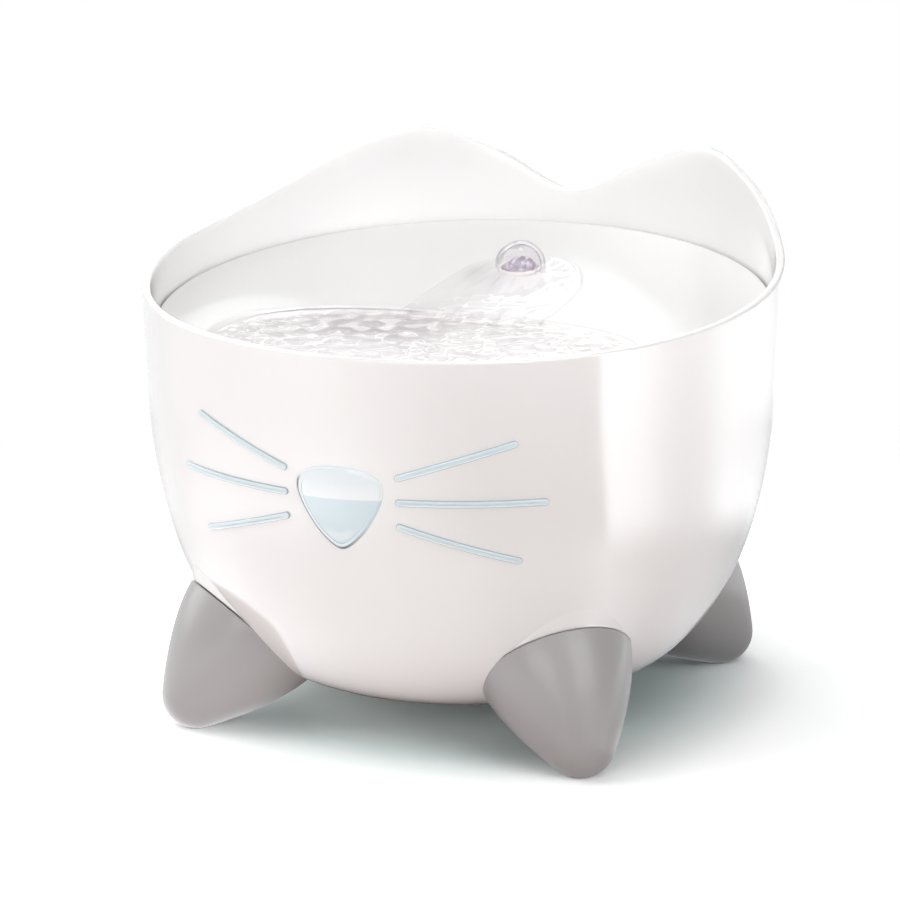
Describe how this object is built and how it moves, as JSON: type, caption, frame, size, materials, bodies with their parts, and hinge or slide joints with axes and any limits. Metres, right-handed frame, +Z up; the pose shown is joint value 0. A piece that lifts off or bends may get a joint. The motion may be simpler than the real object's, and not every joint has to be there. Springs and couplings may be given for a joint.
{
  "type": "pet water fountain",
  "caption": "Cat-shaped pet water fountain: round bowl with ears on four feet, tilted drinking dish with a spout, filter tray on a slotted cage and a submersible pump.",
  "frame": {"origin": "centre of the bowl's axis on the table, under the four feet", "axes": "+Z up, -Y out through the nose, +X to the right of someone who looks at the face"},
  "size_m": [0.236, 0.2368, 0.1945],
  "materials": {
    "bowl_white": "white, high gloss",
    "dish_white": "white, high gloss",
    "window_clear": "pale blue, clear, polished",
    "gasket_grey": "light grey, soft",
    "foot_grey": "warm grey, satin",
    "pad_rubber": "dark grey, matt",
    "spout_smoke": "lilac grey, clear",
    "filter_plastic": "off-white, satin",
    "cartridge_plastic": "blue-grey, satin",
    "seal_rubber": "black, matt",
    "foam": "white open foam",
    "carbon": "black granules",
    "resin": "amber beads",
    "pump_black": "near black, fine grain",
    "pump_grey": "dark grey, fine grain",
    "slider_grey": "light grey, satin",
    "impeller_white": "off-white, satin",
    "magnet": "dark ferrite, coated",
    "ceramic": "white ceramic, polished",
    "cup_rubber": "pale grey, soft",
    "lamp_clear": "clear, water-tight"
  },
  "bodies": {
    "bowl": {"bowl": "bowl_white", "nose_lens": "window_clear", "nose_gasket": "gasket_grey", "whisker_window_left": "window_clear", "whisker_window_right": "window_clear", "whisker_gasket_left": "gasket_grey", "whisker_gasket_right": "gasket_grey", "foot_front_left": "foot_grey", "foot_front_right": "foot_grey", "foot_rear_left": "foot_grey", "foot_rear_right": "foot_grey", "foot_pad_front_left": "pad_rubber", "foot_pad_front_right": "pad_rubber", "foot_pad_rear_left": "pad_rubber", "foot_pad_rear_right": "pad_rubber", "cord_grommet": "pad_rubber"},
    "dish": {"drinking_dish": "dish_white", "spout_hood": "spout_smoke"},
    "filter": {"filter_tray": "filter_plastic", "filter_lid": "filter_plastic", "riser_ring": "seal_rubber", "cartridge_frame": "cartridge_plastic", "filter_foam": "foam", "filter_carbon": "carbon", "filter_resin": "resin", "pump_cage": "filter_plastic"},
    "pump": {"pump_casing": "pump_black", "pump_strainer": "pump_grey", "impeller_shaft": "ceramic", "shaft_bushes": "seal_rubber", "suction_cups": "cup_rubber", "led_capsule": "lamp_clear", "pump_gland": "seal_rubber"},
    "impeller": {"impeller": "impeller_white", "rotor_magnet": "magnet"},
    "flow_slider": {"flow_slider": "slider_grey"}
  },
  "joints": [
    {"name": "dish_lift", "type": "slide", "parent": "bowl", "child": "dish", "axis": [0, 0, 1], "range_m": [0, 0.12]},
    {"name": "filter_lift", "type": "slide", "parent": "bowl", "child": "filter", "axis": [0, 0, 1], "range_m": [0, 0.06]},
    {"name": "pump_lift", "type": "slide", "parent": "bowl", "child": "pump", "axis": [0, 0, 1], "range_m": [0, 0.03]},
    {"name": "impeller_spin", "type": "hinge", "parent": "pump", "child": "impeller", "pos_m": [0, -0.01, 0.0376], "axis": [0, 1, 0], "continuous": true},
    {"name": "flow_slide", "type": "slide", "parent": "pump", "child": "flow_slider", "axis": [1, 0, 0], "range_m": [0, 0.008]}
  ],
  "couplings": [
    {"joint": "filter_lift", "follows": "dish_lift", "ratio": 0.5},
    {"joint": "pump_lift", "follows": "dish_lift", "ratio": 0.25}
  ]
}
